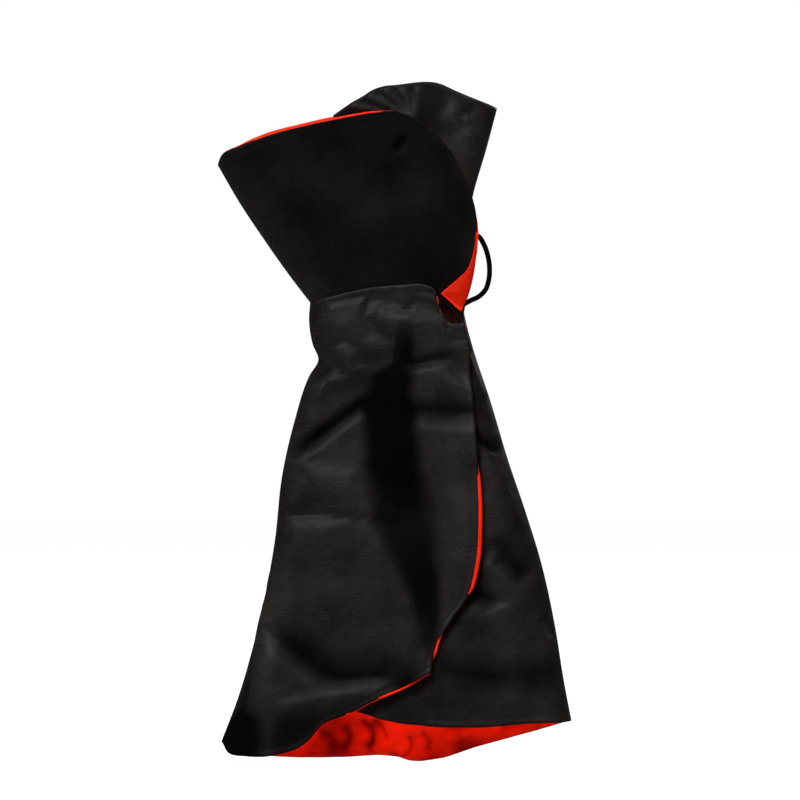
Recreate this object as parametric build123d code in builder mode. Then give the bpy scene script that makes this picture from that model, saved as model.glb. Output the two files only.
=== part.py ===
"""Short costume cape with a tall flared collar, worn closed at the neck by an elastic cord.

Millimetres, +Z up. The origin is the centre of the neckline and the wearer faces -Y, so the wearer's
right is at -X. The garment is laid flat: a flattened tube of cloth whose right front laps over its left
front. Every panel is cut from such a tube: an outline in the front view trims a thin ply of the wall.
"""
import os
from math import sqrt

from build123d import *

os.makedirs("parts", exist_ok=True)

# Plies, counted inwards from the outside of the garment
SATIN = 0.6  # outer satin
LINING = 0.5  # red lining
INTERFACING = 0.6  # stiff layer inside the collar
AIR = 0.1  # between plies
SEAM = 0.8  # between neighbouring panels, where the stitching runs
STIFFENER_MARGIN = 3.0  # the interfacing stops short of the collar's edges
SPLINE_STEPS = 8  # for each edge of the interfacing's outline

# Flattened tube
NECK_HALF_DEPTH = 14.0
HEM_HALF_DEPTH = 22.0
COLLAR_TOP_HALF_DEPTH = 19.0
LAP = 4.0  # the right front lies this far in front of the left front
HEM_Z = -264.0
COLLAR_TOP_Z = 124.0
OPEN_SIDE = 40.0  # the lapping tube runs on past the front edge, so that the front stays flat there

# Side lines of the front view, as (z, left x, right x)
BODY_LEVELS = [(10, -44, 42), (0, -44, 43.5), (-34, -40.5, 50), (-190, -76, 95), (HEM_Z, -97, 107.5)]
COLLAR_BOTTOM_Z = -14.0
COLLAR_LEFT_FLARE = -0.65  # x per z of the collar's side lines
COLLAR_RIGHT_FLARE = 0.2255
COLLAR_LEFT_FOOT = -44.0
COLLAR_RIGHT_FOOT = 37.0

# Where the fronts meet, and the lines they fold along, all as (x, z) in the front view
CLOSURE = (43.0, -11.0)
RIGHT_FOLD_HEM = (-72.0, -262.0)
LEFT_FOLD_TOP = (41.5, -13.0)
LEFT_FOLD_HEM = (70.0, -262.0)
LEAF_FOLD_FRONT = (50.5, 36.0)
LEAF_FOLD_TOP = (-40.0, 101.0)

# Elastic cord
CORD_DIAMETER = 3.0
CORD_CORE_DIAMETER = 1.8
CORD_CORE_CLEARANCE = 0.02
CORD_Y = -11.0
CORD_ENDS_AND_TURNS = [(41.6, -4), (57.7, 16), (52.5, 34.5), (45.3, 33.4), (43.0, 2.5)]  # x, z
CORD_HEADING = (1, 0, 0.15)  # the way it leaves the neck seam
TACK_SIZE = (2.0, 3.4, 1.2)
TACKS = [(38.9, CORD_Y, -4.0), (43.0, CORD_Y, 1.3)]  # just past the cord's ends

FAR = 160.0  # past every side of the garment


def half_depth(z):
    """Half the depth of the flattened tube at a height."""
    if z > 0:
        return NECK_HALF_DEPTH + (COLLAR_TOP_HALF_DEPTH - NECK_HALF_DEPTH) * z / COLLAR_TOP_Z
    return NECK_HALF_DEPTH + (HEM_HALF_DEPTH - NECK_HALF_DEPTH) * z / HEM_Z


def collar_level(z):
    """One level of the flared collar."""
    return z, COLLAR_LEFT_FOOT + COLLAR_LEFT_FLARE * z, COLLAR_RIGHT_FOOT + COLLAR_RIGHT_FLARE * z


COLLAR_LEVELS = [collar_level(COLLAR_TOP_Z + 2), collar_level(0), collar_level(COLLAR_BOTTOM_Z)]


def tube(levels, lap, inset):
    """A solid flattened tube through the levels, drawn in by inset. A lap stands it proud in front."""
    run_on = OPEN_SIDE if lap else 0
    with BuildPart() as solid:
        for z, left, right in levels:
            width, depth = right + run_on - left, 2 * half_depth(z) + lap
            with BuildSketch(Plane.XY.offset(z)):
                with Locations(((left + right + run_on) / 2, -lap / 2)):
                    SlotOverall(width - 2 * inset, depth - 2 * inset)
        loft(ruled=True)
    return solid.part


def ply(label, outline, levels, lap, start, thickness, back=False):
    """One ply of the tube's wall, start deep and that thick, trimmed to an outline of the front view."""
    side_seam = Plane.XZ.offset(lap / 2 + (-SEAM / 2 if back else SEAM / 2))
    with BuildPart() as piece:
        add(tube(levels, lap, start))
        add(tube(levels, lap, start + thickness), mode=Mode.SUBTRACT)
        with BuildSketch(side_seam):
            add(outline)
        extrude(amount=FAR, dir=(0, 1 if back else -1, 0), mode=Mode.INTERSECT)
    piece.part.label = label
    export_step(piece.part, f"parts/{label}.step")


def interfacing_outline(outline):
    """A panel's outline drawn in by the margin, each edge redrawn as a spline."""
    with BuildSketch() as inner:
        add(outline)
        offset(amount=-STIFFENER_MARGIN, mode=Mode.REPLACE)
    with BuildSketch() as redrawn:
        with BuildLine():
            for edge in inner.edges():
                Spline(*[edge @ (step / SPLINE_STEPS) for step in range(SPLINE_STEPS + 1)])
        make_face()
    return redrawn.sketch


def panel(label, outline, levels, lap, back=False, stiffened=False):
    """A sewn panel: outer satin, lining and, in the collar, the interfacing between them."""
    ply(f"{label}_shell", outline, levels, lap, 0, SATIN, back)
    depth = SATIN + AIR
    if stiffened:
        ply(f"{label}_interfacing", interfacing_outline(outline), levels, lap, depth, INTERFACING, back)
        depth += INTERFACING + AIR
    ply(f"{label}_lining", outline, levels, lap, depth, LINING, back)


def along(start, end, share):
    """The point that share of the way from start to end."""
    return start[0] + (end[0] - start[0]) * share, start[1] + (end[1] - start[1]) * share


def beside(start, end, distance):
    """The line from start to end, moved sideways by distance: to its left if positive."""
    dx, dz = end[0] - start[0], end[1] - start[1]
    length = sqrt(dx * dx + dz * dz)
    sx, sz = -dz / length * distance, dx / length * distance
    return (start[0] + sx, start[1] + sz), (end[0] + sx, end[1] + sz)


def part_of(whole, start, end, side):
    """What lies on one side of a fold line: side 1 is to the left of start to end, and -1 to its right."""
    low, high = beside(along(start, end, -1.5), along(start, end, 2.5), side * SEAM / 2)
    far_low, far_high = beside(low, high, side * FAR * 3)
    with BuildSketch() as half:
        with BuildLine():
            Polyline(low, high, far_high, far_low, close=True)
        make_face()
    with BuildSketch() as kept:
        add(whole)
        add(half.sketch, mode=Mode.INTERSECT)
    return kept.sketch


# Outlines of the front view, drawn as sketches with x across and y for the height z.
# Each runs out past the side folds, where the tube's own side trims it.

with BuildSketch() as right_front:
    with BuildLine():
        Polyline((-FAR, -246), (-FAR, -2), (-50, -2))
        Spline((-50, -2), (0, 7.4), (33, 7.6), tangents=((1, 0), (1, -0.1)))  # neck seam
        Spline((33, 7.6), (35.5, -5), CLOSURE)
        Spline(CLOSURE, (48.5, -73), (51, -124), (45, -165), (24, -210))  # front edge
        Spline((24, -210), (-24, -233), (-42, -245), (-62, -256), (-84, -257), (-97, -250), (-FAR, -246))
    make_face()

with BuildSketch() as left_front:
    with BuildLine():
        Line(LEFT_FOLD_TOP, (-22, -233))  # front edge, hidden behind the right front
        Spline((-22, -233), (1, -238), (52, -241), (104, -238.5))
        Polyline((104, -238.5), (FAR, -238.5), (FAR, -1), (42, -1), LEFT_FOLD_TOP)
    make_face()

with BuildSketch() as back:  # it hangs lowest, a little right of the middle
    with BuildLine():
        Polyline((-FAR, -246), (-FAR, -2), (FAR, -2), (FAR, -236))
        Spline((FAR, -236), (107, -239), (52, -254), (15, -261.5), (-67, -257.5), (-97, -250), (-FAR, -246))
    make_face()

with BuildSketch() as collar_right:  # flares to a point at the side and rounds off at its front edge
    with BuildLine():
        Polyline((-98, 79), (-FAR, 60), (-FAR, -2 + SEAM), (-50, -2 + SEAM))
        Spline((-50, -2 + SEAM), (0, 7.4 + SEAM), (33, 7.6 + SEAM), tangents=((1, 0), (1, -0.1)))
        Line((33, 7.6 + SEAM), (43, -6.5))
        Spline((43, -6.5), (49, 28), (50.5, 40), (44, 68), (29, 92), (4, 107))
        Spline((4, 107), (-28, 103.5), (-84, 87), (-98, 79))
    make_face()

with BuildSketch() as collar_left:  # stands highest, behind the right one
    with BuildLine():
        Polyline((63, 106), (FAR, 60), (FAR, 9.5), (-5, 11), (-28, 106))
        Spline((-28, 106), (-13, 116), (7, 121.7), (30, 122.8), (57, 110.5), (63, 106))
    make_face()

with BuildSketch() as collar_back:
    with BuildLine():
        Polyline((-98, 79), (-FAR, 60), (-FAR, 2.2), (FAR, 2.2), (FAR, 60), (63, 106))
        Spline((63, 106), (40, 114), (0, 111), (-50, 100.5), (-84, 89.5), (-98, 79))
    make_face()


def cord(label, diameter, bore=0):
    """The elastic cord: out from the closure, round in a loop of tangent arcs, and back behind the collar."""
    with BuildPart() as piece:
        with BuildLine() as path:
            heading = CORD_HEADING
            for (x, z), (next_x, next_z) in zip(CORD_ENDS_AND_TURNS, CORD_ENDS_AND_TURNS[1:]):
                arc = TangentArc((x, CORD_Y, z), (next_x, CORD_Y, next_z), tangent=heading)
                heading = arc % 1
        start = Plane(origin=path.wire() @ 0, z_dir=path.wire() % 0)
        with BuildSketch(start):
            Circle(diameter / 2)
            if bore:
                Circle(bore / 2, mode=Mode.SUBTRACT)
        sweep(path=path.wire())
    piece.part.label = label
    export_step(piece.part, f"parts/{label}.step")


def cord_tacks():
    """Two bar tacks of thread that hold the cord's ends in the neck seam."""
    with BuildPart() as piece:
        with Locations(*TACKS):
            Box(*TACK_SIZE)
    piece.part.label = "cord_tacks"
    export_step(piece.part, "parts/cord_tacks.step")


right_fold = CLOSURE, RIGHT_FOLD_HEM
left_fold = LEFT_FOLD_TOP, LEFT_FOLD_HEM
leaf_fold = LEAF_FOLD_TOP, LEAF_FOLD_FRONT

panel("back", back.sketch, BODY_LEVELS, 0, back=True)
panel("right_front", part_of(right_front.sketch, *right_fold, -1), BODY_LEVELS, LAP)
panel("right_flap", part_of(right_front.sketch, *right_fold, 1), BODY_LEVELS, LAP)
panel("left_front", part_of(left_front.sketch, *left_fold, 1), BODY_LEVELS, 0)
panel("left_flap", part_of(left_front.sketch, *left_fold, -1), BODY_LEVELS, 0)
panel("collar_back", collar_back.sketch, COLLAR_LEVELS, 0, back=True, stiffened=True)
panel("collar_right", part_of(collar_right.sketch, *leaf_fold, -1), COLLAR_LEVELS, LAP, stiffened=True)
panel("collar_leaf", part_of(collar_right.sketch, *leaf_fold, 1), COLLAR_LEVELS, LAP, stiffened=True)
panel("collar_left", collar_left.sketch, COLLAR_LEVELS, 0, stiffened=True)
cord("cord_sheath", CORD_DIAMETER, bore=CORD_CORE_DIAMETER + 2 * CORD_CORE_CLEARANCE)
cord("cord_core", CORD_CORE_DIAMETER)
cord_tacks()
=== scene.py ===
"""The looks of a short costume cape: black satin, red lining, a tall flared collar and an elastic cord.

Every panel is one sheet of cloth. Its edges are curves of the front view, (x, z) in millimetres, its
depth follows the flattened tube of the CAD model, and its folds are raised along paths of the same view.
"""

import bpy
import numpy as np
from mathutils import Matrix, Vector


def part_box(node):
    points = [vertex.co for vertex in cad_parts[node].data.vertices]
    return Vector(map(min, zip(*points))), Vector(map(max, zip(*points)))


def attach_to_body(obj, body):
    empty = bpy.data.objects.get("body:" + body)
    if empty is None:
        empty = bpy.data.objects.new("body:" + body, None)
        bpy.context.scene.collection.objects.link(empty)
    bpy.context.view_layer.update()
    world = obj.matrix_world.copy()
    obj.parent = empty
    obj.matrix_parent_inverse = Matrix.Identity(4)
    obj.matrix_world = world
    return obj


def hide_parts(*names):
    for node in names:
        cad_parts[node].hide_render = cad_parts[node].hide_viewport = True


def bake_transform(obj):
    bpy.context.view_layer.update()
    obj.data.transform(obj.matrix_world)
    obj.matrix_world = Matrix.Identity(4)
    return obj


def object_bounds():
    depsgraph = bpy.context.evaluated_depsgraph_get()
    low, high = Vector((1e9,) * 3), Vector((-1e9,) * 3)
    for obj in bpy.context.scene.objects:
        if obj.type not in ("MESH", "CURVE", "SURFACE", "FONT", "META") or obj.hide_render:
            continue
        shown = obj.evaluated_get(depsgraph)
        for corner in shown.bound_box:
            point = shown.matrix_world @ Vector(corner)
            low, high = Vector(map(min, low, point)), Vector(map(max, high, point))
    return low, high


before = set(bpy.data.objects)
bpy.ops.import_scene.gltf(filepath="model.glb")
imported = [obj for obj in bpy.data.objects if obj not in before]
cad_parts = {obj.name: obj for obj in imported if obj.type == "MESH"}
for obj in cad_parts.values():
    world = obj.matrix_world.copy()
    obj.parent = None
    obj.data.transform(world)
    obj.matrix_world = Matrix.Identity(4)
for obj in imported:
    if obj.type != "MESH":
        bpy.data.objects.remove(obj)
cad_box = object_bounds()
MM = 0.001

# Edges of the front view
LEFT_SIDE = [
    (-44, -1), (-44.6, -12), (-42.5, -25), (-39.3, -33.5), (-44.5, -43), (-53, -69), (-60, -100),
    (-64, -136), (-69, -165), (-76, -195), (-85, -226), (-94.5, -251),
]
RIGHT_SIDE = [
    (42, -2), (43.5, -10), (47.5, -25.5), (57.7, -56.6), (68, -91), (77.5, -119), (87, -150),
    (95, -187), (99.5, -215), (104, -239),
]
NECK_SEAM = [(-44, -1), (-27, 3.4), (-10, 7), (7, 8.5), (22, 8.4)]
RIGHT_FRONT_NECK = NECK_SEAM + [(25.8, 6.6), (27.4, 0), (30.2, -8), (35.5, -13.4), (43.3, -13)]
RIGHT_FRONT_EDGE = [
    (43.3, -13), (45.3, -25.5), (46, -40), (48.7, -73.6), (50.6, -102), (51, -124.5), (49.5, -148),
    (45, -166), (36, -179), (28.5, -192), (24.5, -209),
]
RIGHT_FRONT_HEM = [
    (-94.5, -251), (-89, -256), (-78, -257.6), (-67, -257.4), (-58.3, -255.6), (-50, -252.8),
    (-44, -248.5), (-35.7, -239), (-21.5, -233), (-4.5, -224), (12, -216.5), (24.5, -209),
]
LEFT_FRONT_NECK = [(36, 1), (39, 0), (42, -2)]
LEFT_FRONT_EDGE = [(36, 1), (38, -13), (19, -88), (-2, -162), (-22, -232)]
LEFT_FRONT_HEM = [(-22, -232), (1, -237.7), (24, -240.6), (52, -241), (80, -239), (104, -239)]
BACK_NECK = [(-44, -1), (0, -1), (42, -2)]
BACK_HEM = [
    (-94.5, -251), (-86, -257), (-67, -259.2), (-30, -259.6), (2, -259), (15, -262), (29, -260.5),
    (52, -253.6), (86, -244.5), (104, -239),
]
COLLAR_LEFT_SIDE = [(-44, -1), (-55.5, 14), (-70, 34.5), (-84, 55.5), (-96.5, 77)]
COLLAR_RIGHT_SIDE = [(38, 1), (40.5, 20), (45, 45), (48.5, 62), (55.5, 86), (61.7, 109.3)]
COLLAR_RIGHT_FOOT = NECK_SEAM + [(33, 6), (43, -7)]
COLLAR_RIGHT_FRONT = [
    (43, -7), (46, 10), (49, 28), (50.4, 39.6), (49, 53), (43.6, 68), (37, 81.5), (28.5, 92.5),
    (18, 101.5), (4, 107),
]
COLLAR_RIGHT_TOP = [
    (-96.5, 77), (-93.5, 82.6), (-84, 87), (-70, 92.6), (-50, 98), (-28, 102.6), (-7.4, 106.2), (4, 107),
]
COLLAR_LEFT_FOOT = [(-8, 9), (15, 8), (38, 1)]
COLLAR_LEFT_EDGE = [(-8, 9), (-20, 60), (-31, 104.5)]
COLLAR_LEFT_TOP = [
    (-31, 104.5), (-21.5, 111), (-13, 116), (-7.8, 119.2), (6.8, 121.9), (28.8, 122.5), (38, 118.5),
    (50, 113.5), (61.7, 109.3),
]
COLLAR_BACK_FOOT = [(-44, -1), (0, 0), (38, 1)]
COLLAR_BACK_TOP = [
    (-96.5, 77), (-93.5, 84), (-84, 90), (-70, 96.2), (-50, 101.6), (-28, 106.4), (0, 110), (30, 111.5),
    (50, 111), (61.7, 109.3),
]
CORD_PATH = [
    (41, -3.5), (43, -2.3), (46.4, -0.4), (51.8, 2.3), (55.3, 6), (57.1, 11.3), (57.6, 18), (56.6, 25.3),
    (54.2, 32), (51.6, 36), (48.6, 37.2), (46, 34), (44.6, 22), (43.2, 3),
]

# Flattened tube: half its depth at the neck, hem and collar top, and how far in from a side it rounds over
NECK_DEPTH, HEM_DEPTH, TOP_DEPTH = 14.0, 22.0, 19.0
HEM_Z, TOP_Z = -264.0, 124.0
ROUNDING = 0.85
LAP = 4.0

QUARTER_ARC = 0.785  # a quarter ellipse's length over the sum of its two half axes

# Fold lines, from one end to the other, with the folding cloth on their left
RIGHT_FLAP_FOLD = ((43, -11), (-72, -262))
LEFT_FLAP_FOLD = ((70, -262), (41.5, -13))
COLLAR_LEAF_FOLD = ((-40, 101), (50.5, 36))

SPACING = 1.25  # between the mesh's rows and columns
SATIN_THICKNESS = 0.4
LINING_THICKNESS = 0.3
LINING_GAP = 0.75
NECK_INSET = 1.2  # how far short of the neckline the lining stops
SEAM_ALLOWANCE = 9
SIDE_FADE = 16  # folds and wrinkles fade out this near a side
TUCK_STEP = 2.0  # between the rows of a collar's foot inside the neck seam
LIT_RELIEF, HOLLOW_RANGE = 2, 6.5  # painted light and shade: cloth raised by the first is painted lightest, and the second below it painted darkest
CORNER_THICKNESS = 0.35
CORNER_GAP = 0.45
CORD_RADIUS = 1.45
THREAD_RADIUS = 0.14
TACK_TURNS = 9
TACK_LENGTH = 3.2


def curve(points, count):
    """count points, evenly spaced along a smooth curve through the given ones."""
    p = np.array(points, float)
    t = np.concatenate([[0], np.cumsum(np.linalg.norm(np.diff(p, axis=0), axis=1))])
    slope = np.gradient(p, t, axis=0)
    fine = np.linspace(0, t[-1], 40 * len(p))
    k = np.clip(np.searchsorted(t, fine, side="right") - 1, 0, len(p) - 2)
    span = (t[k + 1] - t[k])[:, None]
    s = (fine - t[k])[:, None] / span
    smooth = (
        (2 * s**3 - 3 * s**2 + 1) * p[k] + (s**3 - 2 * s**2 + s) * span * slope[k]
        + (3 * s**2 - 2 * s**3) * p[k + 1] + (s**3 - s**2) * span * slope[k + 1]
    )
    arc = np.concatenate([[0], np.cumsum(np.linalg.norm(np.diff(smooth, axis=0), axis=1))])
    even = np.linspace(0, arc[-1], count)
    return np.stack([np.interp(even, arc, smooth[:, i]) for i in range(p.shape[1])], axis=1)


def ease(x):
    """0 below 0, 1 above 1, and smooth in between."""
    x = np.clip(x, 0, 1)
    return x * x * (3 - 2 * x)


def half_depth(z):
    """Half the flattened tube's depth at a height."""
    return np.interp(z, [HEM_Z, 0, TOP_Z], [HEM_DEPTH, NECK_DEPTH, TOP_DEPTH])


def near(view, path):
    """Each point's distance from a path, positive on its left, and its share of the way along."""
    best = np.full(view.shape[:-1], 1e9)
    side = np.zeros_like(best)
    share = np.zeros_like(best)
    p = np.array(path, float)
    for i in range(len(p) - 1):
        along = p[i + 1] - p[i]
        from_start = view - p[i]
        t = np.clip((from_start @ along) / (along @ along), 0, 1)
        gap = from_start - t[..., None] * along
        distance = np.hypot(gap[..., 0], gap[..., 1])
        closer = distance < best
        turn = along[0] * from_start[..., 1] - along[1] * from_start[..., 0]
        best = np.where(closer, distance, best)
        side = np.where(closer, np.sign(turn), side)
        share = np.where(closer, (i + t) / (len(p) - 1), share)
    return best * side, share


def fold(view, path, height, left, right, start=0.2, end=0.2, power=2.0):
    """A fold along a path, height mm high, left and right mm wide each side, fading out at its ends."""
    distance, share = near(view, curve(path, 20))
    width = np.where(distance > 0, left, right)
    ends = ease((share + 1e-9) / start if start else 1) * ease((1 - share) / end if end else 1)
    return height * np.exp(-((np.abs(distance) / width) ** power)) * ends


def step_fold(view, path, drop, steep, gentle, start=0.2, end=0.2):
    """A one-sided fold: left of the path the cloth falls by drop over steep mm, and is back gentle mm on."""
    distance, share = near(view, curve(path, 20))
    fall = np.interp(distance, [-1.5, 0, steep, steep + gentle], [0, 0.06, 1, 0])
    ends = ease((share + 1e-9) / start if start else 1) * ease((1 - share) / end if end else 1)
    return -drop * fall * ends


def pleat(view, crest, foot, drop):
    """A long pleat: right of its crest the cloth drops, runs on flat, and rises again at its foot."""
    z = view[..., 1]
    left, right, depth = (
        np.interp(z, *np.array(line, float)[::-1, ::-1].T) for line in (crest, foot, drop)
    )
    across = (view[..., 0] - left) / np.maximum(right - left, 1)
    return -depth * np.interp(across, [-0.1, 0.14, 0.8, 1.15], [0, 0.85, 1, 0])


def soften(relief, passes):
    """Rounds a relief's creases by averaging each point with its neighbours."""
    for _ in range(passes):
        padded = np.pad(relief, 1, mode="edge")
        relief = (
            padded[1:-1, 1:-1] * 2 + padded[:-2, 1:-1] + padded[2:, 1:-1]
            + padded[1:-1, :-2] + padded[1:-1, 2:]
        ) / 6
    return relief


def ripples(view, seed, wavelength, height, count=9):
    """Small uneven waves, from a few seeded plane waves."""
    rng = np.random.default_rng(seed)
    total = np.zeros(view.shape[:-1])
    for _ in range(count):
        angle = rng.uniform(0, np.pi)
        length = wavelength * rng.uniform(0.6, 1.6)
        wave = np.array([np.cos(angle), np.sin(angle)]) * 2 * np.pi / length
        total += np.sin(view @ wave + rng.uniform(0, 2 * np.pi))
    return height * total / np.sqrt(count)


class Sheet:
    """A grid of points of one panel: rows run down from its top edge, columns from left to right."""

    def __init__(self, top, bottom, left, right, side, lap=0.0, round_left=False, round_right=False):
        rows = int(max(length(left), length(right)) / SPACING) + 2
        around_sides = 10 * (round_left + round_right)
        cols = int((max(length(top), length(bottom)) + around_sides) / SPACING) + 2
        left, right = curve(left, rows), curve(right, rows)
        self.top, self.bottom = np.array(curve(top, 400)), np.array(curve(bottom, 400))
        self.left, self.right = left, right
        v = np.linspace(0, 1, rows)
        points = np.zeros((rows, cols, 3))
        self.girth = np.zeros((rows, cols))
        for i in range(rows):
            depth = half_depth((left[i, 1] + right[i, 1]) / 2)
            width = abs(right[i, 0] - left[i, 0])
            points[i], self.girth[i] = self.row(
                v[i], width, depth, cols, side, lap, round_left, round_right
            )
        self.view = points[..., [0, 2]].copy()
        self.relief = np.zeros((rows, cols))
        self.points = points
        self.fall = np.concatenate(
            [np.zeros((1, cols)), np.cumsum(np.linalg.norm(np.diff(points, axis=0), axis=2), axis=0)]
        )
        self.side = side

    def row(self, v, width, depth, cols, side, lap, round_left, round_right):
        """One row: even steps of girth, round a side fold where there is one and straight between."""
        inset = min(depth * ROUNDING, width / 2.2)
        turn = (inset + depth) * QUARTER_ARC
        straight = width - inset * (round_left + round_right)
        total = straight + turn * (round_left + round_right)
        g = np.linspace(0, total, cols)
        across = np.zeros(cols)
        deep = np.ones(cols)
        for j in range(cols):
            if round_left and g[j] < turn:
                angle = g[j] / turn * np.pi / 2
                across[j], deep[j] = inset * (1 - np.cos(angle)), np.sin(angle)
            elif round_right and g[j] > total - turn:
                angle = (total - g[j]) / turn * np.pi / 2
                across[j], deep[j] = width - inset * (1 - np.cos(angle)), np.sin(angle)
            else:
                across[j] = g[j] - (turn - inset) * round_left
        u = across / width
        at_top = sample(self.top, u)
        at_bottom = sample(self.bottom, u)
        at_left = sample(self.left, np.full(cols, v))
        at_right = sample(self.right, np.full(cols, v))
        u, corners = u[:, None], (self.top[0], self.top[-1], self.bottom[0], self.bottom[-1])
        flat = (
            (1 - v) * at_top + v * at_bottom + (1 - u) * at_left + u * at_right
            - (1 - v) * ((1 - u) * corners[0] + u * corners[1])
            - v * ((1 - u) * corners[2] + u * corners[3])
        )
        y = side * deep * (half_depth(flat[:, 1]) + lap)
        return np.stack([flat[:, 0], y, flat[:, 1]], axis=1), g

    def normals(self):
        """Outward unit normals."""
        n = np.cross(np.gradient(self.points, axis=1), np.gradient(self.points, axis=0))
        n /= np.linalg.norm(n, axis=2, keepdims=True) + 1e-12
        return n if (n[..., 1] * self.side).sum() > 0 else -n

    def raise_by(self, relief, lift=0.0, deepest=9.0, painted_shading=0.0):
        """Moves the cloth outwards by relief and lift, in mm, and inwards by no more than deepest.

        The last argument is painted light and shade: it is added to the relief that the material reads, and
        moves nothing.
        """
        sunk = np.where(relief < 0, -deepest * np.tanh(-relief / deepest), relief)
        self.points = self.points + self.normals() * (sunk + lift)[..., None]
        self.relief = relief + painted_shading

    def edge_distance(self, edge):
        """How far in each point lies from an edge, along the cloth."""
        return {
            "left": self.girth, "right": self.girth[:, -1:] - self.girth,
            "top": self.fall, "bottom": self.fall[-1:] - self.fall,
        }[edge]


def length(points):
    """The length of a line through points."""
    return np.linalg.norm(np.diff(np.array(points, float), axis=0), axis=1).sum()


def sample(points, share):
    """Points at shares of the way along an evenly spaced line."""
    steps = np.linspace(0, 1, len(points))
    return np.stack([np.interp(share, steps, points[:, i]) for i in range(2)], axis=1)


def edge_roll(sheet, edges, height=0.5, at=1.4):
    """The turned edge of a bagged-out seam: a soft roll at the edge, then the step of its allowance."""
    total = 0
    for edge in edges:
        d = sheet.edge_distance(edge)
        roll = np.exp(-(((d - at) / 1.3) ** 2))
        total = total + height * roll + 0.35 * height * ease((SEAM_ALLOWANCE - d) / 2)
    return total


def simulate(sheet, held, growth, cap, frames=20, coarse=3):
    """Natural wrinkles: a coarse copy of the sheet grows a little between its held edges, and buckles."""
    picked_rows = np.unique(np.r_[0:sheet.points.shape[0]:coarse, sheet.points.shape[0] - 1])
    picked_cols = np.unique(np.r_[0:sheet.points.shape[1]:coarse, sheet.points.shape[1] - 1])
    rest = sheet.points[np.ix_(picked_rows, picked_cols)]
    mesh = grid_mesh("cloth_sim", rest * MM)
    piece = bpy.data.objects.new("cloth_sim", mesh)
    bpy.context.scene.collection.objects.link(piece)
    group = piece.vertex_groups.new(name="held")
    rows, cols = rest.shape[:2]
    index = np.arange(rows * cols).reshape(rows, cols)
    ends = {"left": index[:, 0], "right": index[:, -1], "top": index[0], "bottom": index[-1]}
    for edge in held:
        group.add([int(i) for i in ends[edge]], 1.0, "REPLACE")
    cloth = piece.modifiers.new("cloth", "CLOTH")
    cloth.settings.quality = 6
    cloth.settings.mass = 0.15
    cloth.settings.tension_stiffness = 12
    cloth.settings.compression_stiffness = 12
    cloth.settings.shear_stiffness = 4
    cloth.settings.bending_stiffness = 1.0
    cloth.settings.air_damping = 2
    cloth.settings.vertex_group_mass = "held"
    cloth.settings.shrink_min = -growth
    cloth.settings.effector_weights.gravity = 0
    cloth.collision_settings.use_collision = False
    cloth.point_cache.frame_end = frames
    for step in range(1, frames + 1):
        bpy.context.scene.frame_set(step)
    evaluated = piece.evaluated_get(bpy.context.evaluated_depsgraph_get())
    moved = np.zeros(rows * cols * 3, np.float32)
    evaluated.data.vertices.foreach_get("co", moved)
    shift = moved.reshape(rows, cols, 3) / MM - rest
    bpy.data.objects.remove(piece)
    bpy.context.scene.frame_set(1)
    size = np.linalg.norm(shift, axis=2, keepdims=True) + 1e-9
    shift *= cap * np.tanh(size / cap) / size
    for axis, picked in enumerate((picked_rows, picked_cols)):
        every = np.arange(sheet.points.shape[axis])
        shift = np.apply_along_axis(lambda line: np.interp(every, picked, line), axis, shift)
    side = np.minimum(*(sheet.edge_distance(e) if e in held else 99 for e in ("left", "right")))
    sheet.points = sheet.points + shift * ease(side / SIDE_FADE)[..., None]


def grid_mesh(name, points, girth=None, fall=None, flip=False, painted_shade=None):
    """A mesh of quads over a grid of points, with its cloth's own lengths, in decimetres, as UVs."""
    rows, cols = points.shape[:2]
    index = np.arange(rows * cols).reshape(rows, cols)
    corners = [index[:-1, :-1], index[1:, :-1], index[1:, 1:], index[:-1, 1:]]
    quads = np.stack(corners, axis=-1).reshape(-1, 4)
    if flip:
        quads = quads[:, ::-1]
    mesh = bpy.data.meshes.new(name)
    mesh.from_pydata(points.reshape(-1, 3).tolist(), [], quads.tolist())
    if girth is not None:
        layer = mesh.uv_layers.new(name="cloth")
        uv = np.stack([girth.ravel(), fall.ravel()], axis=1)[quads.ravel()] / 100
        layer.data.foreach_set("uv", uv.astype(np.float32).ravel())
    # painted shade per point, which the satin reads: 0 is painted lightest, 1 painted darkest
    if painted_shade is not None:
        painted_shading = mesh.attributes.new("painted_shade", "FLOAT", "POINT")
        painted_shading.data.foreach_set("value", painted_shade.astype(np.float32).ravel())
    mesh.polygons.foreach_set("use_smooth", [True] * len(mesh.polygons))
    return mesh


def put(name, mesh, finish):
    """Puts a mesh in the scene as an object with one material."""
    piece = bpy.data.objects.new(name, mesh)
    bpy.context.scene.collection.objects.link(piece)
    mesh.materials.append(finish)
    return piece


def sheet_piece(name, sheet, points, finish, thickness, outward, dark=0.0):
    """A sheet of cloth as a piece: the grid, thickened away from the side it shows."""
    flip = (sheet.side < 0) == outward
    # painted light and shade from the relief: lightest on raised folds, darkest in hollows, and at least
    # dark, which is more painted shade
    raised = sheet.relief * (1 if outward else -1.1)
    painted_shade = np.maximum(ease((LIT_RELIEF - raised) / HOLLOW_RANGE), dark)
    mesh = grid_mesh(name, points * MM, sheet.girth, sheet.fall, flip, painted_shade)
    piece = put(name, mesh, finish)
    thick = piece.modifiers.new("thickness", "SOLIDIFY")
    thick.thickness = thickness * MM
    thick.offset = -1
    return piece


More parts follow.
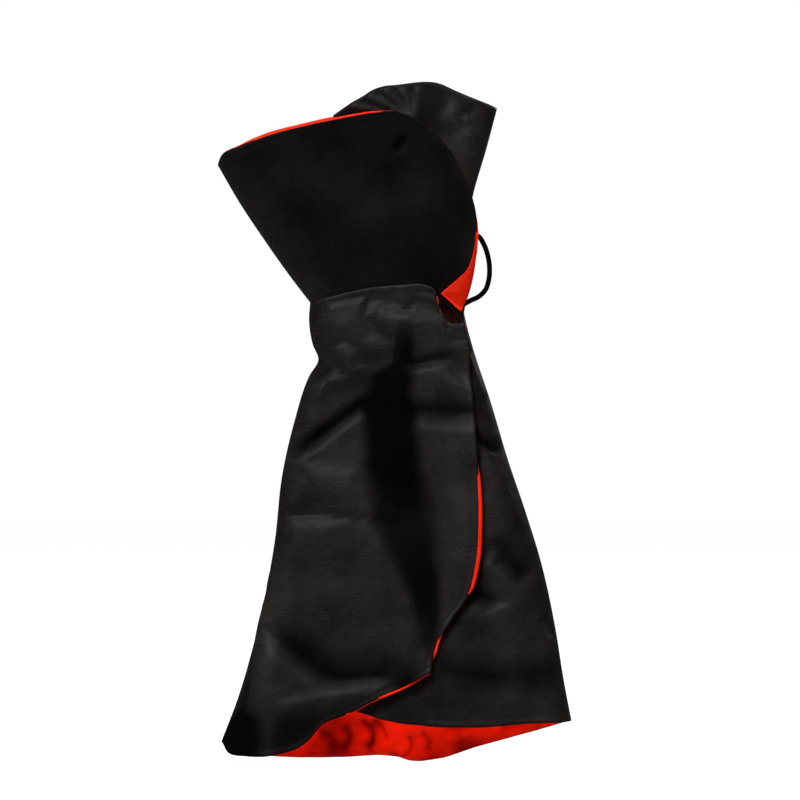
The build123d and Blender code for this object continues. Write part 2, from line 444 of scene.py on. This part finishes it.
def lining_points(sheet, peeks):
    """The lining: just inside the satin, and rolled out past an edge by its peek, in mm along that edge."""
    n = sheet.normals()
    # beside the neckline it lies straight behind, whichever way the satin's edge is rolled
    straight = np.zeros_like(n)
    straight[..., 1] = sheet.side
    beside = (1 - ease(sheet.edge_distance("top") / 7)) * ease((np.abs(n[..., 1]) - 0.5) / 0.3)
    n = n * (1 - beside[..., None]) + straight * beside[..., None]
    inside = np.full(sheet.girth.shape, 1e9)
    for edge in ("left", "right", "top", "bottom"):
        inside = np.minimum(inside, sheet.edge_distance(edge))
    gap = SATIN_THICKNESS + 0.1 + (LINING_GAP - SATIN_THICKNESS) * ease(inside / 4)
    points = sheet.points - n * gap[..., None]
    for edge, peek in peeks.items():
        grid = points if edge in ("left", "right") else points.transpose(1, 0, 2)
        normal = n if edge in ("left", "right") else n.transpose(1, 0, 2)
        if edge in ("right", "bottom"):
            grid, normal = grid[:, ::-1], normal[:, ::-1]
        out = grid[:, 0] - grid[:, 3]
        out /= np.linalg.norm(out, axis=1, keepdims=True) + 1e-9
        reach = np.asarray(peek)[:, None]
        forward = np.clip(reach, 0, 1)
        # the three rings of points nearest the edge: their share of the peek, and how far forward they curl
        for ring, (share, front) in enumerate(((1.0, 0.55), (0.75, 0.85), (0.35, 0.3))):
            grid[:, ring] += out * reach * share + normal[:, ring] * forward * front
    return points


# Materials


def material(name):
    """A new material's node tree, its Principled shader, and a function that adds a node."""
    made = bpy.data.materials.new(name)
    made.use_nodes = True
    tree = made.node_tree
    shader = tree.nodes["Principled BSDF"]

    def add(kind, inputs=None, **settings):
        node = tree.nodes.new(kind)
        for key, value in settings.items():
            setattr(node, key, value)
        for key, value in (inputs or {}).items():
            if isinstance(value, bpy.types.NodeSocket):
                tree.links.new(value, node.inputs[key])
            else:
                node.inputs[key].default_value = value
        return node

    return made, tree, shader, add


def satin(name, dark, light, roughness, specular, deepest, glow=0.0, bump=0.25):
    """Satin: fine cross threads and slubs in colour, gloss and bump, on the cloth's own coordinates.

    Painted light and shade: its colour and shine are painted up on raised folds, and fall to deepest times
    their value where the mesh's painted shade value reaches 1.
    """
    made, tree, shader, add = material(name)
    uv = add("ShaderNodeUVMap", uv_map="cloth").outputs[0]
    slubs = add("ShaderNodeMapping", {"Vector": uv, "Scale": (14, 150, 1)})
    slub = add("ShaderNodeTexNoise", {"Vector": slubs.outputs[0], "Scale": 1.0, "Detail": 3.0})
    clouds = add("ShaderNodeTexNoise", {"Vector": uv, "Scale": 3.2, "Detail": 4.0, "Roughness": 0.6})
    weft_map = add("ShaderNodeMapping", {"Vector": uv, "Scale": (6, 210, 1)})
    weft = add("ShaderNodeTexNoise", {"Vector": weft_map.outputs[0], "Scale": 1.0, "Detail": 2.0})
    warp_map = add("ShaderNodeMapping", {"Vector": uv, "Scale": (230, 10, 1)})
    warp = add("ShaderNodeTexNoise", {"Vector": warp_map.outputs[0], "Scale": 1.0, "Detail": 2.0})
    threads = add("ShaderNodeMath", {0: weft.outputs[0], 1: warp.outputs[0]}, operation="ADD")
    tone = add("ShaderNodeMath", {0: slub.outputs[0], 1: clouds.outputs[0]}, operation="MULTIPLY")
    specks = add("ShaderNodeTexNoise", {"Vector": uv, "Scale": 70.0, "Detail": 2.0})
    grain = add(
        "ShaderNodeMath", {0: specks.outputs[0], 1: 0.22, 2: tone.outputs[0]}, operation="MULTIPLY_ADD"
    )
    ramp = add("ShaderNodeMapRange", {"Value": grain.outputs[0], "From Min": 0.22, "From Max": 0.53})
    colour = add("ShaderNodeMix", {"Factor": ramp.outputs[0]}, data_type="RGBA")
    colour.inputs[6].default_value = (*dark, 1)
    colour.inputs[7].default_value = (*light, 1)
    # painted shade from the mesh, lightest on raised folds and darkest in hollows, scales the colour, the
    # glow and the shine
    painted_shade = add("ShaderNodeAttribute", attribute_name="painted_shade").outputs["Fac"]
    uneven = add("ShaderNodeMath", {0: slub.outputs[0], 1: -0.5}, operation="ADD")
    patchy = add("ShaderNodeMath", {0: uneven.outputs[0], 1: 0.35, 2: painted_shade}, operation="MULTIPLY_ADD")
    lit = add("ShaderNodeMapRange", {"Value": patchy.outputs[0], "To Min": PAINTED_HIGHLIGHT_GAIN, "To Max": deepest})
    shaded = add("ShaderNodeVectorMath", {0: colour.outputs[2], "Scale": lit.outputs[0]}, operation="SCALE")
    tree.links.new(shaded.outputs[0], shader.inputs["Base Color"])
    shine = add("ShaderNodeMath", {0: lit.outputs[0], 1: specular}, operation="MULTIPLY")
    tree.links.new(shine.outputs[0], shader.inputs["Specular IOR Level"])
    gloss = add(
        "ShaderNodeMapRange",
        {"Value": slub.outputs[0], "From Min": 0.3, "From Max": 0.7,
         "To Min": roughness - 0.05, "To Max": roughness + 0.08},
    )
    tree.links.new(gloss.outputs[0], shader.inputs["Roughness"])
    relief = add("ShaderNodeBump", {"Height": threads.outputs[0], "Strength": bump, "Distance": 0.0002})
    tree.links.new(relief.outputs[0], shader.inputs["Normal"])
    shader.inputs["Anisotropic"].default_value = 0.45
    # glow: the satin gives off painted light in its own painted-shaded colour
    tree.links.new(shaded.outputs[0], shader.inputs["Emission Color"])
    shader.inputs["Emission Strength"].default_value = glow
    return made


def cord_material():
    """Braided sheath: two crossing diagonal waves round the cord."""
    made, tree, shader, add = material("braided_cord")
    uv = add("ShaderNodeUVMap", uv_map="cloth").outputs[0]
    waves = []
    for turn in (0.6, -0.6):
        mapped = add("ShaderNodeMapping", {"Vector": uv, "Rotation": (0, 0, turn)})
        wave = add("ShaderNodeTexWave", {"Vector": mapped.outputs[0], "Scale": 22.0, "Distortion": 0.4})
        waves.append(wave.outputs["Fac"])
    braid = add("ShaderNodeMath", {0: waves[0], 1: waves[1]}, operation="MAXIMUM")
    colour = add("ShaderNodeMix", {"Factor": braid.outputs[0]}, data_type="RGBA")
    colour.inputs[6].default_value = (0.0005, 0.0005, 0.0005, 1)
    colour.inputs[7].default_value = (0.003, 0.003, 0.003, 1)
    tree.links.new(colour.outputs[2], shader.inputs["Base Color"])
    relief = add("ShaderNodeBump", {"Height": braid.outputs[0], "Strength": 0.7, "Distance": 0.0003})
    tree.links.new(relief.outputs[0], shader.inputs["Normal"])
    shader.inputs["Roughness"].default_value = 0.62
    shader.inputs["Specular IOR Level"].default_value = 0.05
    shader.inputs["IOR"].default_value = 1.15
    return made


PAINTED_HIGHLIGHT_GAIN = 1.4  # painted highlight: how many times its own colour and shine the satin is painted with on a raised fold
BLACK = satin("black_satin", (0.003, 0.0028, 0.0027), (0.020, 0.018, 0.017), 0.5, 0.1, 0.12)
# the red lining glows a little: painted light
RED = satin("red_satin", (0.60, 0.007, 0.002), (0.90, 0.026, 0.004), 0.5, 0.05, 0.25, glow=0.3)
CORD = cord_material()


def both_layers(name, sheet, peeks, shells, linings, attach, dark=0.0):
    """A panel's outer satin and its lining, each standing for its CAD nodes and passed to attach."""
    outer = sheet_piece(f"{name}_satin", sheet, sheet.points, BLACK, SATIN_THICKNESS, True)
    inside = lining_points(sheet, peeks)
    # the lining takes dark as painted shade
    inner = sheet_piece(
        f"{name}_red_lining", sheet, inside, RED, LINING_THICKNESS, False, dark
    )
    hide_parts(*shells)
    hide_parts(*linings)
    attach(outer)
    attach(inner)


def across_fold(parent, child, start, end, reach):
    """Attaches by bending over the fold line from start to end; reach is how far past it the bend runs."""
    # """Returns a function that bakes a piece's transform into its mesh; start and end, the fold line, and
    # reach, how far past it the bend would run, are not used."""

    def attach(piece):
        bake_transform(piece)

    return attach


def right_front():
    """The right front, which laps over the left one, with its flap along its free edge."""
    sheet = Sheet(RIGHT_FRONT_NECK, RIGHT_FRONT_HEM, LEFT_SIDE, RIGHT_FRONT_EDGE, -1, LAP, round_left=True)
    view = sheet.view
    # the long pleat down the middle, which ends at the flap's point: its two sides and its depth by height
    crest = [
        (5, -20), (3, -37), (-9, -43), (-12.5, -58), (-12, -92), (-7, -124), (1, -143), (14, -167),
        (25, -208),
    ]
    foot = [(14, -20), (14, -43), (13, -58), (18, -96), (27, -127), (29.5, -158), (30, -173), (29, -208)]
    drop = [
        (0, -12), (3.4, -26), (4.4, -46), (4.6, -92), (3.6, -112), (2.6, -122), (3.8, -150), (3.0, -185),
        (1.2, -209),
    ]
    relief = pleat(view, crest, foot, drop)
    # cross folds over it
    relief += step_fold(view, [(52, -58), (25, -57), (5, -56), (-18, -56)], 2.8, 5, 12, 0.0, 0.15)
    relief += step_fold(view, [(38, -27), (25, -30.5), (9, -34)], 3.2, 3, 6, 0.3, 0.2)
    relief += step_fold(view, [(-12, -52), (-34, -67), (-60, -88)], 4.8, 4, 7, 0.1, 0.3)
    relief += step_fold(view, [(-24, -31), (-34, -33), (-42, -36)], 1.6, 6, 8, 0.4, 0.0)
    relief += step_fold(view, [(16, -121), (-20, -120), (-62, -118)], 0.7, 2.2, 8, 0.2, 0.2)
    # the lower panel's curved crest, and the hollow and hem band below it
    lower_crest = [(26, -209), (12, -200.5), (-2, -196.5), (-26, -197), (-39, -189), (-58, -170)]
    relief += step_fold(view, lower_crest, 3.4, 15, 9, 0.1, 0.3)
    relief += fold(view, [(-69, -232), (-40, -226), (-15, -218), (14, -211)], 1.2, 4, 5, 0.2, 0.1)
    relief += fold(view, [(-66, -130), (-68, -185), (-75, -240)], 1.8, 6, 9, 0.3, 0.15)
    relief += fold(view, [(42, -100), (44, -130), (41, -160)], 1.0, 5, 5, 0.3, 0.3)
    # left of a line down its side the panel turns back
    turning = np.interp(view[..., 1], [-240, -192, -165, -110], [-70, -71, -70, -62]) - view[..., 0]
    relief -= 0.32 * np.clip(turning, 0, 14) * ease((-105 - view[..., 1]) / 30)
    for swell in ((-26, -15), (10, -13), (34, -46), (-40, -98), (-30, -166)):
        relief += 0.8 * np.exp(-(((view - swell) / (9, 6)) ** 2).sum(axis=-1))
    relief = soften(relief, 4)
    relief += ripples(view, 3, 26, 0.16) + ripples(view, 4, 11, 0.05)
    relief *= ease(sheet.edge_distance("left") / SIDE_FADE)
    relief += edge_roll(sheet, ["top", "right", "bottom"]) * ease(sheet.girth / 12)
    x, z = view[..., 0], view[..., 1]
    # painted light and shade, which move nothing: a painted highlight down a ridge near the left side,
    # painted shade towards the hem below the hem band, and a little painted shade over the whole panel
    hem_band = np.interp(x, [-69, -40, -15, 14], [-233, -228, -220, -213])
    painted_ridge_highlight = 1.3 * np.exp(-(((x + 66) / 4) ** 2)) * ease((-168 - z) / 20)
    painted_hem_shade = 2.6 * ease((hem_band - z + 4) / 15)
    sheet.raise_by(relief, 2.4 * ease(sheet.girth / 25), 3.2, painted_ridge_highlight - painted_hem_shade - 0.3)
    simulate(sheet, ("left", "top"), 0.03, 1.6)
    # how far the red shows past the free edge, by height, and past the hem and the neckline, by place across
    heights = [-205, -203, -199, -191, -188, -168, -164, -150, -118, -101, -92, -17, -13, -10]
    shown = [0, 0.6, 1.6, 1.2, 0, 0, 1.9, 2.3, 1.8, 1.1, 0, 0, 0.8, 0.4]
    neck_x, hem_x = sheet.points[0, :, 0], sheet.points[-1, :, 0]
    peeks = {
        "right": np.interp(sheet.points[:, -1, 2], heights, shown),
        "bottom": np.interp(hem_x, [-30, -24, -10, 3, 14, 24], [0, 0.9, 0.7, 1.1, 0.9, 0.7]),
        "top": np.interp(neck_x, [20, 25, 38, 43], [-NECK_INSET, -3.5, -3.5, -NECK_INSET]),
    }
    both_layers(
        "right_front", sheet, peeks, ["right_front_shell", "right_flap_shell"],
        ["right_front_lining", "right_flap_lining"],
        across_fold("body", "right_flap", *RIGHT_FLAP_FOLD, 18),
    )


def left_front():
    """The left front, which runs under the right one."""
    sheet = Sheet(LEFT_FRONT_NECK, LEFT_FRONT_HEM, LEFT_FRONT_EDGE, RIGHT_SIDE, -1, 0, round_right=True)
    view = sheet.view
    relief = step_fold(view, [(70, -84), (60, -78), (48, -72)], 3.2, 4, 6, 0.3, 0.0)
    relief += step_fold(view, [(88, -152), (78, -143), (66, -126)], 2.4, 8, 12, 0.2, 0.3)
    relief += step_fold(view, [(66, -167), (56, -162), (46, -156)], 3.0, 6, 9, 0.3, 0.0)
    relief += step_fold(view, [(100, -199), (76, -203), (50, -202), (28, -196)], 2.2, 10, 14, 0.2, 0.2)
    relief += fold(view, [(56, -90), (60, -130), (66, -180), (70, -236)], 1.0, 7, 8, 0.2, 0.1)
    relief += fold(view, [(40, -185), (36, -212), (35, -240)], 1.1, 6, 6, 0.2, 0.0)
    relief += fold(view, [(84, -160), (88, -200), (90, -240)], 0.9, 5, 6, 0.3, 0.0)
    relief = soften(relief, 7)
    relief += ripples(view, 7, 24, 0.16) + ripples(view, 8, 11, 0.05)
    relief *= ease(sheet.edge_distance("right") / SIDE_FADE)
    relief += edge_roll(sheet, ["bottom"]) * ease(sheet.edge_distance("right") / 12)
    # under the right front it lies flat and a little deeper
    covering = np.array(RIGHT_FRONT_EDGE)[::-1]
    covered = ease((np.interp(view[..., 1], covering[:, 1], covering[:, 0]) - view[..., 0] - 1) / 6)
    # painted shade darkens the whole panel a little
    sheet.raise_by(relief * (1 - covered), -2.5 * covered, painted_shading=-1.0)
    simulate(sheet, ("right", "top", "left"), 0.025, 1.4)
    neckline = {"top": np.full(sheet.points.shape[1], -NECK_INSET)}
    both_layers(
        "left_front", sheet, neckline, ["left_front_shell", "left_flap_shell"],
        ["left_front_lining", "left_flap_lining"],
        across_fold("body", "left_flap", *LEFT_FLAP_FOLD, 24),
    )


def back():
    """The back, which hangs lowest and shows its lining below both fronts."""
    sheet = Sheet(BACK_NECK, BACK_HEM, LEFT_SIDE, RIGHT_SIDE, 1, 0, round_left=True, round_right=True)
    view = sheet.view
    relief = fold(view, [(-10, -10), (-16, -90), (-24, -180), (-30, -255)], 2.6, 9, 12, 0.2, 0.0)
    relief += fold(view, [(12, -20), (22, -110), (34, -190), (42, -255)], 2.4, 12, 9, 0.3, 0.0)
    relief += fold(view, [(2, -60), (4, -140), (6, -258)], -1.8, 10, 10, 0.3, 0.0)
    relief += fold(view, [(-40, -60), (-10, -72), (20, -68)], -1.4, 5, 6, 0.3, 0.4)
    relief += fold(view, [(-50, -118), (0, -116), (60, -119)], 0.7, 2.5, 3, 0.2, 0.2, 1.4)
    relief += fold(view, [(-40, -190), (-60, -215), (-78, -235)], 1.4, 7, 6, 0.3, 0.2)
    # the creases of its hem
    for path, height, width in (
        ([(-17, -236), (-9, -246), (-13, -258)], 3.6, 2.6),
        ([(-11, -236), (-3, -243), (0, -252)], 3.0, 2.0),
        ([(-42, -244), (-33, -249), (-31, -259)], 2.6, 2.4),
        ([(-26, -240), (-22, -249), (-27, -258)], 2.4, 2.0),
        ([(-2, -255), (7, -259), (12, -252), (8, -245)], 3.2, 2.2),
        ([(16, -244), (22, -250), (21, -259)], 2.4, 2.4),
        ([(30, -250), (40, -247), (54, -247)], -1.2, 3.0),
        ([(60, -244), (74, -242), (88, -242)], 1.2, 2.4),
    ):
        relief += fold(view, path, height, width, width * 1.3, 0.2, 0.2)
    relief += ripples(view, 14, 13, 0.38) * ease((-222 - view[..., 1]) / 20)
    relief += ripples(view, 12, 26, 0.2) + ripples(view, 13, 10, 0.06)
    inner = ease(np.minimum(sheet.edge_distance("left"), sheet.edge_distance("right")) / SIDE_FADE)
    relief *= inner
    relief += edge_roll(sheet, ["top", "bottom"]) * inner
    sheet.raise_by(relief)
    simulate(sheet, ("left", "right", "top"), 0.03, 2.2)

    def attach(piece):
        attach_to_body(piece, "body")

    neckline = {"top": np.full(sheet.points.shape[1], -NECK_INSET)}
    # painted shade on the lining near the neckline, deep inside the cape
    painted_neck_shade = 1.15 * ease((view[..., 1] + 60) / 40)
    both_layers("back", sheet, neckline, ["back_shell"], ["back_lining"], attach, painted_neck_shade)


def collar_right():
    """The right half of the collar, with its front leaf, and its foot tucked inside the neck seam."""
    sheet = Sheet(COLLAR_RIGHT_TOP, COLLAR_RIGHT_FOOT, COLLAR_LEFT_SIDE[::-1], COLLAR_RIGHT_FRONT[::-1],
                  -1, LAP, round_left=True)
    view = sheet.view
    relief = fold(view, [(3, 84), (7, 88), (9, 94)], -2.2, 2.2, 2.2, 0.3, 0.3)
    relief += fold(view, [(-70, 74), (-40, 66), (-10, 60)], 0.7, 12, 14, 0.3, 0.4)
    relief += fold(view, [(-30, 44), (5, 50), (35, 66)], 0.8, 14, 12, 0.3, 0.3)
    relief += ripples(view, 21, 40, 0.12)
    relief *= ease(sheet.edge_distance("left") / 14)
    relief += edge_roll(sheet, ["top", "right"], 0.4) * ease(sheet.girth / 10)
    # painted shade over the collar half, fading out towards its left side
    sheet.raise_by(relief, painted_shading=-2.8 * ease(sheet.girth / 34))
    tuck(sheet, 5, 1.4)
    peeks = {
        "right": np.interp(sheet.points[:, -1, 2], [-8, 28, 34, 43, 50], [0, 1.8, 1.2, 0.6, 0]),
        "top": np.interp(sheet.points[0, :, 0], [-92, -80, -60, -30, -8, 8], [0, 0.8, 1.2, 1.5, 1.3, 0]),
        "bottom": np.full(sheet.points.shape[1], -1.5),
    }
    both_layers(
        "collar_right", sheet, peeks,
        ["collar_right_shell", "collar_right_interfacing", "collar_leaf_shell", "collar_leaf_interfacing"],
        ["collar_right_lining", "collar_leaf_lining"],
        across_fold("collar", "collar_leaf", *COLLAR_LEAF_FOLD, 12),
    )


def tuck(sheet, rows, setback):
    """Adds rows below a sheet's foot, set back behind its surface, that run on inside the seam."""
    foot = sheet.points[-1]
    inwards = -sheet.side * setback
    added = [foot + np.array([0, inwards * min(1, k / 2), -TUCK_STEP * k]) for k in range(1, rows + 1)]
    sheet.points = np.concatenate([sheet.points, np.array(added)])
    sheet.girth = np.concatenate([sheet.girth, np.repeat(sheet.girth[-1:], rows, axis=0)])
    sheet.relief = np.concatenate([sheet.relief, np.repeat(sheet.relief[-1:], rows, axis=0)])
    more = sheet.fall[-1:] + TUCK_STEP * np.arange(1, rows + 1)[:, None]
    sheet.fall = np.concatenate([sheet.fall, more])


def collar_left():
    """The left half of the collar, highest, with gathers that fan out to its top edge."""
    sheet = Sheet(COLLAR_LEFT_TOP, COLLAR_LEFT_FOOT, COLLAR_LEFT_EDGE[::-1], COLLAR_RIGHT_SIDE[::-1],
                  -1, 0, round_right=True)
    view = sheet.view
    relief = 0
    gathered = (12, 94)
    for x, z, height in ((-22, 109, 1.4), (-12, 115, 1.9), (-3, 119, 1.7), (7, 120, 2.0), (17, 121, 1.6)):
        middle = ((gathered[0] + x) / 2 + 2, (gathered[1] + z) / 2 + 4)
        relief = relief + fold(view, [gathered, middle, (x, z)], height, 1.9, 2.6, 0.3, 0.05)
    relief += fold(view, [(30, 96), (36, 104), (42, 112)], 1.2, 5, 6, 0.3, 0.3)
    relief += fold(view, [(38, 104), (45, 107), (51, 106)], -1.6, 3.5, 3.5, 0.3, 0.3)
    relief += fold(view, [(46, 100), (49, 86), (46, 72)], 1.8, 6, 7, 0.3, 0.3)
    relief += ripples(view, 31, 20, 0.15)
    relief *= ease(sheet.edge_distance("right") / 12)
    relief += edge_roll(sheet, ["top"], 0.4) * ease(sheet.edge_distance("right") / 10)
    # painted shade over the gathers at the top left, a painted highlight on the right, and a little painted
    # light over the whole
    painted_top_shade = ease((view[..., 1] - 88) / 14) * ease((40 - view[..., 0]) / 14)
    painted_side_highlight = np.exp(-(((view - (49, 84)) / (9, 17)) ** 2).sum(axis=-1))
    sheet.raise_by(relief, painted_shading=1.8 * painted_side_highlight + 0.4 - 2.6 * painted_top_shade)
    tuck(sheet, 9, 1.6)
    both_layers(
        "collar_left", sheet, {}, ["collar_left_shell", "collar_left_interfacing"],
        ["collar_left_lining"], collar_seam,
    )


def collar_back():
    """The back of the collar, between its two halves."""
    sheet = Sheet(COLLAR_BACK_TOP, COLLAR_BACK_FOOT, COLLAR_LEFT_SIDE[::-1], COLLAR_RIGHT_SIDE[::-1],
                  1, 0, round_left=True, round_right=True)
    view = sheet.view
    relief = fold(view, [(-60, 60), (-20, 72), (20, 70)], 1.0, 14, 16, 0.3, 0.3)
    relief += fold(view, [(-30, 5), (-40, 45), (-52, 85)], 0.9, 9, 9, 0.3, 0.3)
    relief += ripples(view, 41, 34, 0.15)
    inner = ease(np.minimum(sheet.edge_distance("left"), sheet.edge_distance("right")) / 14)
    relief *= inner
    relief += edge_roll(sheet, ["top"], 0.4) * inner
    sheet.raise_by(relief)
    tuck(sheet, 4, 1.6)
    both_layers(
        "collar_back", sheet, {}, ["collar_back_shell", "collar_back_interfacing"],
        ["collar_back_lining"], collar_seam,
    )


def collar_seam(piece):
    """Bakes a piece's transform into its mesh."""
    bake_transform(piece)


def turned_corner():
    """The collar's lower front corner, turned back so that a triangle of its lining shows."""
    rows, cols = 54, 26
    t = np.linspace(0, 1, rows)[:, None]
    crease = curve([(50.2, 37), (50, 28), (48.3, 14), (45.2, 2), (41.6, -6.5)], rows)
    front = [(49.8, 37), (48.6, 28), (45.2, 17.5), (37, 9.6), (30, 3.6)]
    foot = [(30, 3.6), (34.6, -0.4), (40.6, -6)]
    free = np.concatenate([curve(front, 38), curve(foot, rows - 37)[1:]])
    w = np.linspace(0, 1, cols)[None, :, None]
    flat = crease[:, None] * (1 - w) + free[:, None] * w
    width = np.linalg.norm(free - crease, axis=1)[:, None]
    share = w[..., 0]
    lift = 0.4 + 0.8 * share + 0.13 * width * np.sin(np.pi * share**0.7)
    lift = lift + 0.5 * np.exp(-(((1 - share) * width / 0.9 - 0.6) ** 2)) * ease(width / 4)
    y = -(half_depth(flat[..., 1]) + LAP + lift)
    points = np.stack([flat[..., 0], y, flat[..., 1]], axis=-1)
    girth, fall = np.broadcast_to(share * 18, points.shape[:2]), np.broadcast_to(t * 38, points.shape[:2])
    # painted shade over the whole corner, with a painted highlight along its free rim and at its foot
    rim = np.maximum(1 - (1 - share) * width / 1.3, ease((t - 0.9) / 0.08)) * ease(width / 4)
    painted_shade = 0.72 - 0.7 * np.clip(rim, 0, 1)
    for name, setback, finish, slot in (
        ("collar_turned_corner_lining", 0.0, RED, "red_satin"),
        ("collar_turned_corner_satin", CORNER_GAP, BLACK, "black_satin"),
    ):
        mesh = grid_mesh(name, (points + np.array([0, setback, 0])) * MM, girth, fall, False, painted_shade)
        piece = put(name, mesh, finish)
        thick = piece.modifiers.new("thickness", "SOLIDIFY")
        thick.thickness = CORNER_THICKNESS * MM
        thick.offset = 0
        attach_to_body(piece, "collar")


def tube_mesh(name, path, radius, sides=16):
    """A round tube along a path in mm, with its ends closed."""
    p = np.array(path)
    along = np.gradient(p, axis=0)
    along /= np.linalg.norm(along, axis=1, keepdims=True)
    across = np.cross(along, [0, 1, 0])
    across /= np.linalg.norm(across, axis=1, keepdims=True)
    up = np.cross(across, along)
    angle = np.arange(sides) * 2 * np.pi / sides
    ring = np.cos(angle)[None, :, None] * across[:, None] + np.sin(angle)[None, :, None] * up[:, None]
    points = (p[:, None] + ring * radius).reshape(-1, 3)
    row, col = np.meshgrid(np.arange(len(p) - 1), np.arange(sides), indexing="ij")
    step = np.array([(0, 0), (1, 0), (1, 1), (0, 1)])
    rows = row[..., None] + step[:, 0]
    cols = col[..., None] + step[:, 1]
    quads = (rows * sides + cols % sides).reshape(-1, 4)
    last = (len(p) - 1) * sides
    caps = [list(range(sides)), list(range(last + sides - 1, last - 1, -1))]
    mesh = bpy.data.meshes.new(name)
    mesh.from_pydata((points * MM).tolist(), [], quads.tolist() + caps)
    fall = np.concatenate([[0], np.cumsum(np.linalg.norm(np.diff(p, axis=0), axis=1))])
    uv = np.zeros((len(mesh.loops), 2), np.float32)
    uv[:quads.size] = np.stack([cols * radius * angle[1], fall[rows]], axis=-1).reshape(-1, 2) / 100
    mesh.uv_layers.new(name="cloth").data.foreach_set("uv", uv.ravel())
    mesh.polygons.foreach_set("use_smooth", [True] * len(quads) + [False, False])
    return mesh


def cord():
    """The elastic cord's loop. Its lower end runs back into the neck seam."""
    path = curve(CORD_PATH, 150)
    depth = np.interp(np.linspace(0, 1, len(path)), [0, 0.06, 0.2, 1], [-13.6, -13, -11, -11])
    points = np.stack([path[:, 0], depth, path[:, 1]], axis=1)
    piece = put("elastic_cord", tube_mesh("elastic_cord", points, CORD_RADIUS), CORD)
    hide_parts("cord_sheath", "cord_core")
    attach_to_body(piece, "cord")


def tacks():
    """Bar tacks: thread wound over each of the cord's ends."""
    low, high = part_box("cord_tacks")
    turns = np.linspace(0, 2 * np.pi * TACK_TURNS, 220)
    y = (low.y + high.y) / 2 / MM
    for name, x, z in (
        ("lower", low.x / MM + 1, low.z / MM + 0.6),
        ("upper", high.x / MM - 1, high.z / MM - 0.6),
    ):
        across, along = 0.8 * np.cos(turns), (turns / turns[-1] - 0.5) * TACK_LENGTH
        points = np.stack([x + across, y + along, z + 0.55 * np.sin(turns)], axis=1)
        mesh = tube_mesh(f"bar_tack_{name}", points, THREAD_RADIUS, 6)
        piece = put(f"bar_tack_{name}", mesh, CORD)
        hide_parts("cord_tacks")
        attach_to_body(piece, "collar")


def stage():
    """A pale floor before a pale background, soft lights, and a level camera in front."""
    low = cad_box[0][2] - 0.001
    reach = (-6, 6)
    mesh = grid_mesh("floor", np.array([[(x, y, low) for x in reach] for y in reach]))
    made, tree, shader, add = material("pale_floor")
    shader.inputs["Base Color"].default_value = (0.3, 0.3, 0.3, 1)
    shader.inputs["Roughness"].default_value = 0.9
    shader.inputs["Specular IOR Level"].default_value = 0.1
    shader.inputs["Emission Color"].default_value = (1, 1, 1, 1)
    # its glow is for the camera alone, so that it lights nothing
    camera_rays = add("ShaderNodeLightPath").outputs["Is Camera Ray"]
    glow = add("ShaderNodeMath", {0: camera_rays, 1: 0.96}, operation="MULTIPLY")
    tree.links.new(glow.outputs[0], shader.inputs["Emission Strength"])
    put("floor", mesh, made)

    world = bpy.data.worlds.new("studio")
    bpy.context.scene.world = world
    world.use_nodes = True
    background = world.node_tree.nodes["Background"]
    background.inputs[0].default_value = (1, 1, 1, 1)
    path = world.node_tree.nodes.new("ShaderNodeLightPath")
    strength = world.node_tree.nodes.new("ShaderNodeMapRange")
    strength.inputs["To Min"].default_value = 0.07
    strength.inputs["To Max"].default_value = 1.0
    world.node_tree.links.new(path.outputs["Is Camera Ray"], strength.inputs["Value"])
    world.node_tree.links.new(strength.outputs[0], background.inputs[1])

    middle_x = 0.0068
    target = Vector((middle_x, 0, -0.06))
    for name, place, size, power in (
        ("key", (-0.6, -1.9, 1.3), 0.8, 58),
        ("low", (0.3, -1.8, -0.75), 1.0, 52),
        ("top", (0.2, -0.3, 1.8), 1.2, 12),
        ("rim", (0.9, 1.3, 0.8), 1.0, 10),
    ):
        light = bpy.data.lights.new(name, "AREA")
        light.size = size
        light.energy = power
        lamp = bpy.data.objects.new(name, light)
        lamp.location = place
        lamp.rotation_euler = (target - lamp.location).to_track_quat("-Z", "Y").to_euler()
        bpy.context.scene.collection.objects.link(lamp)

    distance, frame_width, cape_front = 3.0, 0.4528, 0.018
    camera = bpy.data.cameras.new("camera")
    camera.lens = camera.sensor_width * (distance - cape_front) / frame_width
    view = bpy.data.objects.new("camera", camera)
    view.location = (middle_x, -distance, -0.0566)
    view.rotation_euler = (np.pi / 2, 0, 0)
    bpy.context.scene.collection.objects.link(view)
    bpy.context.scene.camera = view
    bpy.context.scene.view_settings.view_transform = "Standard"


back()
left_front()
right_front()
collar_back()
collar_left()
collar_right()
turned_corner()
cord()
tacks()
stage()
